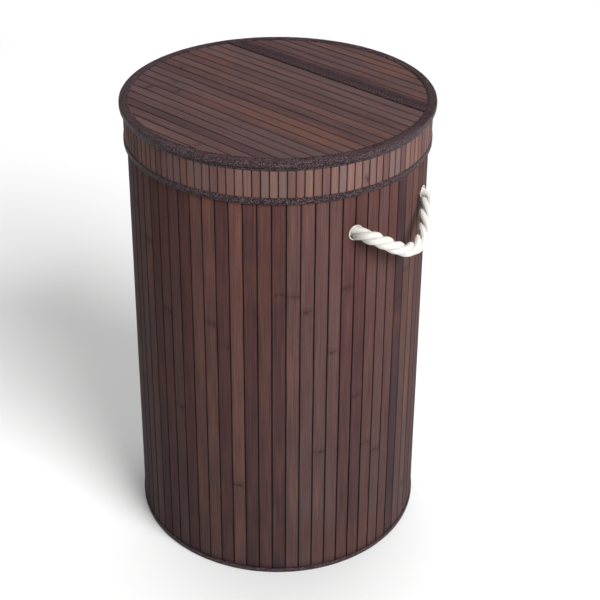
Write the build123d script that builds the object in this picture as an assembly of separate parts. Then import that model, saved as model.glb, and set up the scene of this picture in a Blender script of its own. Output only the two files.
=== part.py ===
from build123d import *
import math
import os

os.makedirs("parts", exist_ok=True)

# Laundry hamper with lid: a round slatted wall on cloth, a slatted cap with a folding front flap,
# two rope handles and a hanging cloth liner. Millimetres, +Z up, foot on z = 0, front towards -Y.

# Overall
total_height = 580.0

# Wall: flat slats side by side on a cloth, a little wider at the foot than at the rim
wall_radius_rim = 179.5
wall_flare = 4.0
slat_count = 70
slat_thick = 2.0
slat_gap = 0.9
slat_ease = 0.6
cloth_thick = 0.8
seam_tape_width = 26.0
seam_tape_thick = 0.6

# Cloth tape bound round the wall's rim and foot
rim_tape_thick = 0.6
rim_tape_height = 14.0
foot_tape_thick = 0.9
foot_tape_height = 6.5
foot_tape_fold = 15.0

# Base
base_cloth_thick = 0.8
base_board_thick = 4.0

# Lid panel: slats on a board, lined below, its edge bound with tape, a little wider than the skirt
lid_overhang = 3.4
lid_slat_pitch = 14.5
lid_slat_gap = 0.9
lid_slat_thick = 2.2
lid_board_thick = 3.0
lining_thick = 0.7
lid_tape_thick = 0.8
lid_tape_width = 11.0
lid_tape_bevel = 1.0
lid_sides = 84

# Fold across the lid, with a sewn tape behind it
fold_place = 76.0
fold_gap = 0.6
fold_tape_width = 23.0
fold_tape_thick = 0.6

# Skirt band that slips over the wall's rim
skirt_depth = 45.0
skirt_slat_count = 120
skirt_slat_thick = 1.3
skirt_slat_gap = 0.8
skirt_slat_ease = 0.4
skirt_flats = 60
skirt_cloth_thick = 0.5
skirt_tape_thick = 0.5
skirt_hem_height = 10.0
skirt_head_height = 4.0

# Rope handles, each through two eyelets that sit on gaps between slats
rope_diameter = 15.0
rope_sides = 8
hole_drop = 47.0
hole_offset_slats = 4.0
handle_turn_slats = 0.5
rope_exit_stand = 10.5
knot_diameter = 30.0
knot_tail = 6.0

# Eyelets
eyelet_bore_clearance = 0.3
eyelet_barrel_wall = 0.5
eyelet_flange_width = 1.2
eyelet_flange_thick = 1.6
eyelet_sides = 20
eyelet_lip = 0.8
washer_thick = 1.0
washer_width = 2.2

# Liner bag
liner_thick = 1.0
liner_hem_height = 25.0
liner_drop = 3.0
liner_slack = 4.0
liner_sides = 36

# Clearances
seat = 0.1
skin = 0.05
slip_fit = 0.45
rest_gap = 0.3
bore_clearance = 0.3
rope_gap = 0.3

# Heights, from the top down
lid_slat_top = total_height - lid_tape_thick - seat
lid_board_top = lid_slat_top - lid_slat_thick
lining_top = lid_board_top - lid_board_thick
lining_bottom = lining_top - lining_thick
lid_under = lining_bottom - seat - lid_tape_thick
skirt_top = lid_under - rest_gap
skirt_bottom = skirt_top - skirt_depth
rim_top = lid_under - rest_gap - seat
wall_top = rim_top - rim_tape_thick - seat
wall_bottom = foot_tape_thick + seat
wall_length = wall_top - wall_bottom
hole_height = skirt_bottom - hole_drop
base_board_bottom = wall_bottom + base_cloth_thick + seat
base_board_top = base_board_bottom + base_board_thick

# Angles
slat_pitch = 360.0 / slat_count
skirt_pitch = 360.0 / skirt_slat_count
hole_angle = hole_offset_slats * slat_pitch
handle_turn = handle_turn_slats * slat_pitch
handle_sides = {"right": handle_turn, "left": 180.0 + handle_turn}


def wall_back(height):
    """Radius of the slats' flat backs at a height, where the cloth starts."""
    rise = (height - wall_bottom) / wall_length
    return wall_radius_rim - slat_thick + wall_flare * (1.0 - rise)


def slat_reach(height):
    """Largest radius that the eased outer edges of the wall slats reach at a height."""
    return math.hypot(wall_back(height) + slat_thick, slat_width / 2 - slat_ease)


def strip_section(width, thick, ease):
    """Cross-section of a slat: flat back on the X axis, outer edges eased."""
    half = width / 2
    outline = Polyline(
        (-half, 0),
        (half, 0),
        (half, thick - ease),
        (half - ease, thick),
        (-half + ease, thick),
        (-half, thick - ease),
        close=True,
    )
    return make_face(outline)


def flat_run(flat, next_flat, low, high, sides):
    """One run of a flat-sided solid, drawn from its wider end towards the narrower one."""
    wide = max(flat, next_flat)
    taper = math.degrees(math.atan2(abs(flat - next_flat), high - low))
    outline = RegularPolygon(wide, sides, major_radius=False, rotation=180 / sides)
    run = extrude(outline, high - low, taper=taper)
    return Pos(0, 0, low) * run if wide == flat else Pos(0, 0, high) * Rot(180, 0, 0) * run


def flat_sided(levels, sides):
    """Solid with flat sides all round, one centred on +X, through (flat radius, height) levels."""
    steps = zip(levels, levels[1:])
    runs = [flat_run(flat, next_flat, low, high, sides) for (flat, low), (next_flat, high) in steps]
    return sum(runs[1:], runs[0])


def straight_sided(flat, sides, low, high):
    return flat_sided([(flat, low), (flat, high)], sides)


def ring(points, sweep=360.0):
    """Solid turned about the Z axis from a profile of radius and height."""
    profile = make_face(Polyline(*[(radius, 0, height) for radius, height in points], close=True))
    return revolve(profile, Axis.Z, sweep)


def on_wall(azimuth, radius, height):
    """Place with +Z pointing outwards through the wall, at an azimuth from the +X axis."""
    return Rot(0, 0, azimuth) * Pos(radius, 0, height) * Rot(0, 90, 0)


def hole_azimuths(side):
    return [handle_sides[side] - hole_angle, handle_sides[side] + hole_angle]


def export(solids, node):
    shapes = solids if isinstance(solids, list) else [solids]
    pieces = [solid for shape in shapes for solid in shape.solids()]
    whole = pieces[0] if len(pieces) == 1 else Compound(children=pieces)
    export_step(whole, f"parts/{node}.step")


slat_width = 2 * wall_back(wall_top) * math.tan(math.radians(slat_pitch / 2)) - slat_gap
all_holes = hole_azimuths("right") + hole_azimuths("left")

# Eyelet and bore sizes, from the rope outwards
eyelet_bore = rope_diameter / 2 + eyelet_bore_clearance
barrel_radius = eyelet_bore + eyelet_barrel_wall
wall_bore = barrel_radius / math.cos(math.pi / eyelet_sides) + bore_clearance
flange_radius = barrel_radius + eyelet_flange_width
eyelet_seat = (wall_back(hole_height) + slat_thick) / math.cos(math.radians(slat_pitch / 2)) + seat
washer_radius = barrel_radius + washer_width
washer_corner = washer_radius / math.cos(math.pi / eyelet_sides)
cloth_inside = wall_back(hole_height + washer_corner) - seat - cloth_thick
washer_outside = math.sqrt(cloth_inside ** 2 - washer_corner ** 2) - seat
washer_inside = washer_outside - washer_thick

bore_tool = Cylinder(wall_bore, 8 * (slat_thick + cloth_thick))
wall_bores = [on_wall(azimuth, wall_back(hole_height), hole_height) * bore_tool for azimuth in all_holes]

# Wall slats, each leaning in towards the rim, notched where an eyelet passes between two of them
lean = math.degrees(math.atan2(wall_flare, wall_length))
wall_strip = extrude(strip_section(slat_width, slat_thick, slat_ease), wall_length)
wall_strip = Pos(0, wall_back(wall_bottom), wall_bottom) * Rot(lean, 0, 0) * wall_strip
wall_slats = []
for index in range(slat_count):
    azimuth = index * slat_pitch
    slat = Rot(0, 0, azimuth - 90) * wall_strip
    for hole, bore in zip(all_holes, wall_bores):
        apart = abs((azimuth - hole + 180) % 360 - 180)
        if apart < slat_pitch:
            slat -= bore
    wall_slats.append(slat)
export(wall_slats, "wall_slats")

# Cloth that the slats are glued to: flat behind each slat, with its four rope holes


def wall_shell(inset, low, high):
    return flat_sided([(wall_back(low) - inset, low), (wall_back(high) - inset, high)], slat_count)


wall_cloth = wall_shell(seat, wall_bottom, wall_top) - wall_shell(seat + cloth_thick, wall_bottom, wall_top)
for bore in wall_bores:
    wall_cloth -= bore
export(wall_cloth, "wall_backing")

# Tape inside at the rear, where the two ends of the slat mat meet
seam_low = base_board_top + rest_gap
seam_high = wall_top - rim_tape_height - rest_gap
seam_outside = seat + cloth_thick + seat
seam_sweep = math.degrees(seam_tape_width / wall_radius_rim)
wall_seam = ring([
    (wall_back(seam_low) - seam_outside - seam_tape_thick, seam_low),
    (wall_back(seam_low) - seam_outside, seam_low),
    (wall_back(seam_high) - seam_outside, seam_high),
    (wall_back(seam_high) - seam_outside - seam_tape_thick, seam_high),
], seam_sweep)
export(Rot(0, 0, 90 - seam_sweep / 2) * wall_seam, "wall_seam_tape")

# Tape folded over the rim and down the inside of the cloth
rim_low = wall_top - rim_tape_height
rim_inset = seat + cloth_thick + seat
rim_face = wall_back(wall_top) - rim_inset
rim_tape = straight_sided(wall_back(wall_top) + slat_thick, slat_count, wall_top + seat, rim_top)
rim_tape += straight_sided(rim_face, slat_count, rim_low, rim_top)
rim_tape -= straight_sided(rim_face - rim_tape_thick, slat_count, rim_low, rim_top)
export(rim_tape, "wall_rim_binding")

# Tape folded round the foot: up the outside of the slats and in under the base
foot_face = wall_back(wall_bottom) + slat_thick + seat
foot_inner = wall_back(wall_bottom) - foot_tape_fold
foot_tape = straight_sided(foot_face + foot_tape_thick, slat_count, 0, foot_tape_height)
foot_tape -= straight_sided(foot_face, slat_count, foot_tape_thick, foot_tape_height)
foot_tape -= straight_sided(foot_inner, slat_count, 0, foot_tape_thick)
export(foot_tape, "foot_binding")

# Base: a cloth disc sewn to the foot tape, with a stiff board lying on it
base_radius = wall_back(base_board_top) - seat - cloth_thick - rest_gap
base_cloth = straight_sided(base_radius, slat_count, wall_bottom, wall_bottom + base_cloth_thick)
export(base_cloth, "base_cloth")
export(straight_sided(base_radius, slat_count, base_board_bottom, base_board_top), "base_board")

# Eyelets: flange outside, barrel through the wall, lip rolled over a washer inside.
# Heights run along the bore, with their zero on the wall's axis.
lip_end = washer_inside - seat - eyelet_lip
flange_top = eyelet_seat + eyelet_flange_thick
flange_levels = [
    (flange_radius, eyelet_seat),
    (flange_radius, eyelet_seat + eyelet_flange_thick / 2),
    (flange_radius - eyelet_flange_thick / 2, flange_top),
]
eyelet = flat_sided(flange_levels, eyelet_sides)
eyelet += straight_sided(barrel_radius, eyelet_sides, lip_end, eyelet_seat)
eyelet += straight_sided(barrel_radius + eyelet_lip, eyelet_sides, lip_end, lip_end + eyelet_lip)
eyelet -= straight_sided(eyelet_bore, eyelet_sides, lip_end, flange_top)
washer = straight_sided(washer_radius, eyelet_sides, washer_inside, washer_outside)
washer -= straight_sided(barrel_radius + seat, eyelet_sides, washer_inside, washer_outside)

# Rope handles. The loop swings about the line through its two exits, just outside the eyelets,
# so it starts and ends in a half ball there; the knotted ends stay in the wall.
rope_radius = rope_diameter / 2
exit_radius = eyelet_seat + rope_exit_stand
exit_x = exit_radius * math.cos(math.radians(hole_angle))
exit_y = exit_radius * math.sin(math.radians(hole_angle))
rope_exit = Vector(exit_x, -exit_y, hole_height)
rope_steps = [(6.0, 13.5, -4.0), (20.5, 31.0, -18.5), (27.5, 57.0, -33.5)]
half_route = [rope_exit] + [rope_exit + Vector(step) for step in rope_steps]
rope_middle = Vector(half_route[-1].X, 0, half_route[-1].Z)
rope_mirrored = Vector(half_route[-1].X, -half_route[-1].Y, half_route[-1].Z)
rope_corners = half_route + [rope_mirrored]
rope_radii = []
for before, corner, after in zip(rope_corners, rope_corners[1:], rope_corners[2:]):
    turn = (corner - before).get_angle(after - corner)
    shorter = min((corner - before).length, (after - corner).length)
    rope_radii.append(0.45 * shorter / math.tan(math.radians(turn / 2)))
rope_path = FilletPolyline(*half_route, rope_middle, radius=rope_radii)
rope_start = Plane(origin=half_route[0], z_dir=half_route[1] - half_route[0])
rope_section = RegularPolygon(rope_radius, rope_sides, rotation=180 / rope_sides)
rope_tube = sweep(rope_start * rope_section, path=rope_path)
tube_share = rope_tube.volume / (rope_section.area * rope_path.length)
print("rope bend radii", [round(radius, 1) for radius in rope_radii])
print("rope loop length", round(2 * rope_path.length, 1), "tube volume share", round(tube_share, 4))


def ball(radius, sides, angles):
    """Faceted part of a ball about the Z axis, between latitudes given in degrees."""
    flat = radius * math.cos(math.pi / sides)
    turns = [math.radians(angle) for angle in angles]
    return flat_sided([(flat * math.cos(turn), radius * math.sin(turn)) for turn in turns], sides)


rope_back = Plane(origin=rope_start.origin, x_dir=rope_start.x_dir, z_dir=-rope_start.z_dir)
half_loop = rope_tube + rope_back * ball(rope_radius, rope_sides, (0, 35, 68))
rope_loop = half_loop + mirror(half_loop, about=Plane.XZ)

# A knotted end: tube through the eyelet, ball of the knot against its lip, short tail
knot_radius = knot_diameter / 2
knot_centre = lip_end - seat - math.sqrt(knot_radius ** 2 - eyelet_bore ** 2)
stub_end = exit_radius - rope_radius - rope_gap
stub_start = knot_centre - knot_radius - knot_tail
rope_stub = Pos(0, 0, stub_start) * extrude(rope_section, stub_end - stub_start)
knotted_end = rope_stub + Pos(0, 0, knot_centre) * ball(knot_radius, rope_sides, (-62, -25, 25, 62))

for side, azimuth in handle_sides.items():
    places = [on_wall(hole, 0, hole_height) for hole in hole_azimuths(side)]
    export([place * eyelet for place in places], f"rope_eyelets_{side}")
    export([place * washer for place in places], f"eyelet_washers_{side}")
    export([place * knotted_end for place in places], f"rope_ends_{side}")
    export(Rot(0, 0, azimuth) * rope_loop, f"rope_handle_{side}")

# Liner: a bag that hangs inside from the rim tape, pushed in where the knots stand
liner_inset = seam_outside + seam_tape_thick + rest_gap
liner_top = rim_top - liner_drop
liner_bottom = base_board_top + rest_gap
liner_fit = math.cos(math.pi / liner_sides)


def liner_flat(height, depth):
    return (wall_back(height) - liner_inset) * liner_fit - depth


def liner_body(depth):
    """The bag's space, set in by a depth all round, less the pockets that the knots push into it."""
    bottom = liner_bottom + depth
    body = flat_sided([(liner_flat(bottom, depth), bottom), (liner_flat(liner_top, depth), liner_top)], liner_sides)
    knot_room = knot_radius + liner_slack + depth
    pocket = flat_sided([
        (rope_radius + liner_slack + depth, stub_start - liner_slack - depth),
        (knot_room, knot_centre),
        (knot_room, exit_radius),
    ], 8)
    for hole in all_holes:
        body -= on_wall(hole, 0, hole_height) * pocket
    return body


hem_low = liner_top - liner_hem_height
hem_face = liner_flat(liner_top, liner_thick / 2)
liner_hem = straight_sided(hem_face, liner_sides, hem_low, liner_top)
liner_hem -= straight_sided(hem_face - 1.5 * liner_thick, liner_sides, hem_low, liner_top)
export(liner_body(0) - liner_body(liner_thick) + liner_hem, "liner_bag")

# Skirt band of narrow slats, bound top and bottom, a slip fit over the wall
skirt_inside = slat_reach(skirt_bottom) + slip_fit
skirt_cloth_inside = skirt_inside + skirt_tape_thick + skin
skirt_corner = 1 / math.cos(math.pi / skirt_flats)
skirt_back = (skirt_cloth_inside + skirt_cloth_thick) * skirt_corner + skin
skirt_width = 2 * skirt_back * math.tan(math.radians(skirt_pitch / 2)) - skirt_slat_gap
skirt_face = math.hypot(skirt_back + skirt_slat_thick, skirt_width / 2 - skirt_slat_ease) + skin
skirt_low = skirt_bottom + skirt_tape_thick + skin
skirt_high = skirt_top - skirt_tape_thick - skin
skirt_strip = extrude(strip_section(skirt_width, skirt_slat_thick, skirt_slat_ease), skirt_high - skirt_low)
skirt_strip = Pos(0, skirt_back, skirt_low) * skirt_strip
export([Rot(0, 0, index * skirt_pitch) * skirt_strip for index in range(skirt_slat_count)], "skirt_slats")


def skirt_band(inside, thick, low, high):
    outer = straight_sided(inside + thick, skirt_flats, low, high)
    return outer - straight_sided(inside, skirt_flats, low, high)


def skirt_binding(edge, inward, height):
    """Tape folded over one edge of the skirt: a flat fold, with a lip up each face of the band."""
    low = min(edge, edge + inward * height)
    high = max(edge, edge + inward * height)
    fold = edge + inward * skirt_tape_thick
    binding = skirt_band(skirt_inside, skirt_tape_thick, low, high)
    binding += skirt_band(skirt_face, skirt_tape_thick, low, high)
    binding += skirt_band(skirt_inside, skirt_face + skirt_tape_thick - skirt_inside, min(edge, fold), max(edge, fold))
    return binding


export(skirt_band(skirt_cloth_inside, skirt_cloth_thick, skirt_low, skirt_high), "skirt_backing")
export(skirt_binding(skirt_bottom, 1, skirt_hem_height), "skirt_hem_binding")
export(skirt_binding(skirt_top, -1, skirt_head_height), "skirt_head_binding")

# Lid panel in two pieces that meet at the fold: a rear part fixed on the skirt and a front flap
lid_radius = skirt_face + skirt_tape_thick + lid_overhang
lid_core_radius = lid_radius - lid_tape_thick - seat
flap_edge = fold_place - fold_gap / 2
rear_edge = fold_place + fold_gap / 2
half_space = Box(4 * lid_radius, 4 * lid_radius, total_height, align=(Align.CENTER, Align.MAX, Align.MIN))
flap_space = Pos(0, flap_edge, total_height / 2) * half_space
rear_space = Pos(0, rear_edge, total_height / 2) * (Rot(0, 0, 180) * half_space)


def disc(radius, bottom, top):
    return straight_sided(radius, lid_sides, bottom, top)


def slat_rows(start, end, direction):
    """Lid slats laid along X, from the fold out to under the edge tape, trimmed round."""
    width = lid_slat_pitch - lid_slat_gap
    along_x = Plane(origin=(-lid_radius, 0, lid_board_top), x_dir=(0, 1, 0), z_dir=(1, 0, 0))
    lid_strip = extrude(along_x * strip_section(width, lid_slat_thick, slat_ease), 2 * lid_radius)
    core = disc(lid_core_radius, lid_board_top, lid_slat_top)
    rows = math.ceil((abs(end - start) - lid_tape_width) / lid_slat_pitch)
    places = [start + direction * (lid_slat_pitch * row + width / 2) for row in range(rows)]
    return [core & (Pos(0, place, 0) * lid_strip) for place in places]


export(slat_rows(flap_edge, -lid_core_radius, -1), "flap_slats")
export(slat_rows(rear_edge, lid_core_radius, 1), "lid_rear_slats")

board = disc(lid_core_radius, lining_top, lid_board_top)
lining = disc(lid_core_radius, lining_bottom, lining_top)
edge_binding = flat_sided([
    (lid_radius - lid_tape_bevel, lid_under),
    (lid_radius, lid_under + lid_tape_bevel),
    (lid_radius, total_height - lid_tape_bevel),
    (lid_radius - lid_tape_bevel, total_height),
], lid_sides)
edge_binding -= disc(lid_radius - lid_tape_thick, lid_under + lid_tape_thick, total_height - lid_tape_thick)
edge_binding -= disc(lid_radius - lid_tape_width, lid_under, total_height)
for name, space in (("flap", flap_space), ("lid_rear", rear_space)):
    export(board & space, f"{name}_board")
    export(lining & space, f"{name}_lining")
    export(edge_binding & space, f"{name}_binding")

# Tape sewn along the rear side of the fold, inside the edge binding
tape_radius = lid_radius - lid_tape_width - seat
tape_reach = Box(4 * lid_radius, fold_tape_width, total_height, align=(Align.CENTER, Align.MIN, Align.MIN))
fold_tape = disc(tape_radius, lid_slat_top, lid_slat_top + fold_tape_thick)
export(fold_tape & (Pos(0, rear_edge, total_height / 2) * tape_reach), "fold_tape")
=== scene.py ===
import math
import bpy
import numpy as np
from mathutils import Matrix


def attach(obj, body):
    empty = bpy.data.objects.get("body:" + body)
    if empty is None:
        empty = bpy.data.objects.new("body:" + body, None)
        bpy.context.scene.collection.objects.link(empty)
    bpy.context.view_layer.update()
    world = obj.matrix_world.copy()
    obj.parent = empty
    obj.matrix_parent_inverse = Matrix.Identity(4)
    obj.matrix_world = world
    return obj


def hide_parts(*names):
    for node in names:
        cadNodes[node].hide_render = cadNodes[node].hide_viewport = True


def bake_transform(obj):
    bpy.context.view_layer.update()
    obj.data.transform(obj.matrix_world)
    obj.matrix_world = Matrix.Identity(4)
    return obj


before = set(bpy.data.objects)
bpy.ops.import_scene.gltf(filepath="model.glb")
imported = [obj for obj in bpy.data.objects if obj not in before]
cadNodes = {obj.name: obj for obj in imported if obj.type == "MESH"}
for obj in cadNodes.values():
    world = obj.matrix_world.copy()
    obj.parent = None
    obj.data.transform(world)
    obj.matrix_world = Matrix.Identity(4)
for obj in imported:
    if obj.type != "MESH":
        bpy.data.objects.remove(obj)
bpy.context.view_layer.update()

rng = np.random.default_rng(23)
mm = 0.001
fullTurn = 2 * np.pi
upward = np.array([0, 0, 1.0])
sides = {"right": 1, "left": -1}

# main sizes of the hamper in mm, as its drawing gives them; tape stands tapeRise above the lid's slats
hamper = {
    "wallLow": 1.0, "wallTop": 571.2, "wallRim": 177.5, "wallFlare": 4.0, "slats": 70,
    "holeHeight": 480.0, "holeAngle": 20.571, "handleTurn": 2.571,
    "lidRadius": 187.03, "lidTop": 580.0, "lidUnder": 572.3, "tapeRise": 0.9, "fold": 76.0, "foldGap": 0.3,
    "skirtLow": 527.0, "skirtTop": 572.0, "skirtInside": 180.39, "skirtBack": 181.74, "skirtFace": 183.13,
    "skirtInset": 0.55,
}
holeDegrees = np.array([-1, 1, -1, 1]) * hamper["holeAngle"] + np.array([0, 0, 180, 180])
holes = np.radians(hamper["handleTurn"] + holeDegrees)
holesOf = {"right": holes[:2], "left": holes[2:]}


def wallBack(z):
    # radius of the slats' backs: straight taper from foot to rim
    rise = (z - hamper["wallLow"]) / (hamper["wallTop"] - hamper["wallLow"])
    return hamper["wallRim"] + hamper["wallFlare"] * (1 - rise)


def wave(x, seed, counts=(1, 2, 3)):
    # smooth random wave: a sum of cosines with random phases and sizes, whole turns over 2 pi, about -1 to 1
    pick = np.random.default_rng(seed)
    phase = pick.uniform(0, fullTurn, len(counts))
    size = pick.uniform(0.5, 1.0, len(counts))
    return (size * np.cos(np.asarray(x)[..., None] * np.array(counts) + phase)).sum(-1) / size.sum()


def halfWave(x, seed, counts=(1, 2, 3)):
    # the same wave, from 0 to 1
    return 0.5 + 0.5 * wave(x, seed, counts)


def angleGap(a, b):
    # a less b, brought to within half a turn
    return (a - b + np.pi) % fullTurn - np.pi


def around(out, side, z, turn):
    # points at a distance out from the axis and some way to the side, turned to an azimuth
    x = out * np.cos(turn) - side * np.sin(turn)
    y = out * np.sin(turn) + side * np.cos(turn)
    return np.stack([x, y, z + 0 * x], -1)


def roundAngles(count):
    # angles spread evenly over a full turn
    return np.linspace(0, fullTurn, count, endpoint=False)


def spoke(angle, a, b):
    # the way that lies at an angle from a towards b: cosine times a plus sine times b
    return np.cos(angle) * a + np.sin(angle) * b


# mesh helpers

def gridFaces(nu, nv, wrapU, wrapV):
    # quads of an nu by nv grid; corner rows and columns stay unwrapped, so a closed seam keeps its UVs
    iu, iv = np.meshgrid(np.arange(nu - (not wrapU)), np.arange(nv - (not wrapV)), indexing="ij")
    cu = np.stack([iu, iu + 1, iu + 1, iu], -1).reshape(-1, 4)
    cv = np.stack([iv, iv, iv + 1, iv + 1], -1).reshape(-1, 4)
    return (cu % nu) * nv + cv % nv, cu, cv


def gridPart(points, wrapU=False, wrapV=False, uv=None, caps=False, marks=None):
    # points (nu, nv, 3) in mm; uv is a pair of arrays in mm over the unwrapped grid; caps close both ends of
    # u; a closed part whose volume comes out negative has its faces turned over
    nu, nv = points.shape[:2]
    quads, cu, cv = gridFaces(nu, nv, wrapU, wrapV)
    if uv is None:
        uv = np.meshgrid(np.arange(nu + 1.0), np.arange(nv + 1.0), indexing="ij")
    corners = np.stack([uv[0][cu, cv], uv[1][cu, cv]], -1)
    flat = points.reshape(-1, 3)
    a, b, c, d = (flat[quads[:, k]] for k in range(4))
    volume = (a * (np.cross(b, c) + np.cross(c, d))).sum()
    ends = []
    if caps:
        ends = [np.arange(nv), (nu - 1) * nv + np.arange(nv)[::-1]]
        for row in ends:
            p = flat[row]
            volume += (p[0] * np.cross(p[1:-1], p[2:]).sum(0)).sum()
    flip = volume < 0 and (caps or wrapU)
    return {"points": flat, "quads": quads, "uv": corners, "ends": ends, "flip": flip, "marks": marks or {}}


def seamed(values):
    # a grid with its last column doubled, for the UVs of a closed seam
    return np.pad(values, ((0, 0), (0, 1)), mode="edge")


def makePiece(name, parts, finish, uvName="pieceUV", smooth=True):
    # joins grid parts into one mesh object at the origin, in metres
    points = np.concatenate([p["points"] for p in parts]) * mm
    start = np.cumsum([0] + [len(p["points"]) for p in parts])
    loops, sizes, uvs = [], [], []
    for part, first in zip(parts, start):
        quads, corners = part["quads"], part["uv"]
        if part["flip"]:
            quads, corners = quads[:, ::-1], corners[:, ::-1]
        loops.append((quads + first).ravel())
        uvs.append(corners.reshape(-1, 2))
        sizes.append(np.full(len(quads), 4))
        for row in part["ends"]:
            row = row[::-1] if part["flip"] else row
            loops.append(row + first)
            uvs.append(np.zeros((len(row), 2)))
            sizes.append(np.array([len(row)]))
    loops, sizes, uvs = np.concatenate(loops), np.concatenate(sizes), np.concatenate(uvs)
    mesh = bpy.data.meshes.new(name)
    mesh.vertices.add(len(points))
    mesh.vertices.foreach_set("co", points.astype(np.float32).ravel())
    mesh.loops.add(len(loops))
    mesh.loops.foreach_set("vertex_index", loops.astype(np.int32))
    mesh.polygons.add(len(sizes))
    mesh.polygons.foreach_set("loop_start", (np.cumsum(sizes) - sizes).astype(np.int32))
    mesh.polygons.foreach_set("use_smooth", np.full(len(sizes), smooth))
    layer = mesh.uv_layers.new(name=uvName)
    layer.uv.foreach_set("vector", (uvs * mm).astype(np.float32).ravel())
    for key in parts[0]["marks"]:
        values = np.concatenate([np.ravel(p["marks"][key]) for p in parts])
        mesh.attributes.new(key, "FLOAT", "POINT").data.foreach_set("value", values.astype(np.float32))
    mesh.update(calc_edges=True)
    mesh.validate()
    mesh.materials.append(finish)
    piece = bpy.data.objects.new(name, mesh)
    bpy.context.scene.collection.objects.link(piece)
    return piece


def place(piece, body, slot, *nodes):
    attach(piece, body)
    if nodes:
        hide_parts(*nodes)


def sweptRing(profile, count, first=0.0, last=fullTurn):
    # closed profile of (radius, height) carried round the axis; arrays of first and last angles, one for each
    # point of the profile, make an open ring with capped ends
    profile = np.array(profile, float)
    radius, height = profile.T
    whole = np.isscalar(first)
    t = np.linspace(0, 1, count, endpoint=not whole)[:, None]
    points = around(radius, 0.0, height, first + (last - first) * t + 0 * radius)
    edge = np.hypot(*np.diff(np.vstack([profile, profile[:1]]), axis=0).T)
    length = np.linspace(0, 1, count + 1 if whole else count) * np.mean(np.abs(last - first)) * radius.max()
    uv = np.meshgrid(length, np.concatenate([[0], np.cumsum(edge)]), indexing="ij")
    return gridPart(points, wrapU=whole, wrapV=True, uv=uv, caps=not whole)


stitch = {"pitch": 3.6, "length": 2.5, "thick": 0.55, "rise": 0.3, "sunk": 0.4, "thinnest": 0.05, "steps": 6}


def stitchRow(centres, along, up, length, thick):
    # each stitch is a small thread arched over the cloth: a tube on a half-sine hump, thin at both ends
    t = np.linspace(0, 1, stitch["steps"])[:, None]
    turn = roundAngles(stitch["steps"])
    girth = thick / 2 * np.sqrt(np.clip(1 - np.abs(2 * t - 1) ** 4, stitch["thinnest"], 1))
    s = (t - 0.5) * length + 0 * turn
    h = stitch["rise"] * np.sin(np.pi * t) - stitch["rise"] * stitch["sunk"] + girth * np.sin(turn)
    w = girth * np.cos(turn)
    ways = ((s, along), (h, up), (w, np.cross(along, up)))
    points = centres[:, None, None] + sum(size[..., None] * way[:, None, None] for size, way in ways)
    return [gridPart(p, wrapV=True, caps=True) for p in points]


def ringStitches(radius, z, up, first=0.0, last=fullTurn):
    # stitches in a circle at a radius and height; up is the (outward, upward) way the cloth faces
    count = int(abs(last - first) * radius / stitch["pitch"])
    theta = first + (last - first) * (np.arange(count) + 0.5) / count
    out = around(1.0, 0.0, 0.0, theta)
    along = around(0.0, 1.0, 0.0, theta)
    face = up[0] * out + up[1] * upward
    return stitchRow(radius * out + z * upward, along, face, stitch["length"], stitch["thick"])


# node helpers

def put(tree, kind, inputs=None, **settings):
    made = tree.nodes.new(kind)
    for key, value in settings.items():
        setattr(made, key, value)
    for key, value in (inputs or {}).items():
        if isinstance(value, bpy.types.NodeSocket):
            tree.links.new(value, made.inputs[key])
        else:
            made.inputs[key].default_value = value
    return made


def calc(operation, a, b=0.0):
    return put(a.id_data, "ShaderNodeMath", {0: a, 1: b}, operation=operation).outputs[0]


def plus(a, b):
    return calc("ADD", a, b)


def minus(a, b):
    return calc("SUBTRACT", a, b)


def times(a, b):
    return calc("MULTIPLY", a, b)


def span(value, low, high, toLow=0.0, toHigh=1.0, kind="LINEAR"):
    ends = {"Value": value, "From Min": low, "From Max": high, "To Min": toLow, "To Max": toHigh}
    return put(value.id_data, "ShaderNodeMapRange", ends, interpolation_type=kind).outputs[0]


def fade(value, low, high, toLow, toHigh):
    return span(value, low, high, toLow, toHigh, "SMOOTHSTEP")


# most of a noise lies between these two values
noiseLow, noiseHigh = 0.3, 0.7


def sway(value, amount):
    # a noise brought to between minus and plus an amount
    return span(value, noiseLow, noiseHigh, -amount, amount)


def ramp(value, stops):
    made = put(value.id_data, "ShaderNodeValToRGB", {"Fac": value})
    while len(made.color_ramp.elements) < len(stops):
        made.color_ramp.elements.new(0.5)
    for element, (at, colour) in zip(made.color_ramp.elements, stops):
        element.position = at
        element.color = (*colour, 1)
    return made.outputs["Color"]


def blendColour(way, factor, a, b):
    tree = (a if np.isscalar(factor) else factor).id_data
    made = put(tree, "ShaderNodeMix", data_type="RGBA", blend_type=way)
    for socket, value in ((made.inputs[0], factor), (made.inputs[6], a), (made.inputs[7], b)):
        if isinstance(value, bpy.types.NodeSocket):
            tree.links.new(value, socket)
        else:
            socket.default_value = value if np.isscalar(value) else (*value, 1)
    return made.outputs[2]


def paint(factor, under, over):
    return blendColour("MIX", factor, under, over)


def shadeBy(colour, value):
    # colour times a grey
    grey = put(colour.id_data, "ShaderNodeCombineColor", {0: value, 1: value, 2: value}).outputs[0]
    return blendColour("MULTIPLY", 1.0, colour, grey)


def mapped(vector, **settings):
    return put(vector.id_data, "ShaderNodeMapping", {"Vector": vector, **settings}).outputs[0]


def noise(vector, scale, detail=2.0, rough=0.5):
    # scale is one number, or one for each axis, which draws the noise out
    if not np.isscalar(scale):
        vector, scale = mapped(vector, Scale=scale), 1.0
    inputs = {"Vector": vector, "Scale": scale, "Detail": detail, "Roughness": rough}
    return put(vector.id_data, "ShaderNodeTexNoise", inputs).outputs["Fac"]


def vectorCalc(operation, vector):
    made = put(vector.id_data, "ShaderNodeVectorMath", {0: vector}, operation=operation)
    return made.outputs["Value" if operation == "LENGTH" else "Vector"]


def split(vector):
    return put(vector.id_data, "ShaderNodeSeparateXYZ", {0: vector}).outputs


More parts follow.
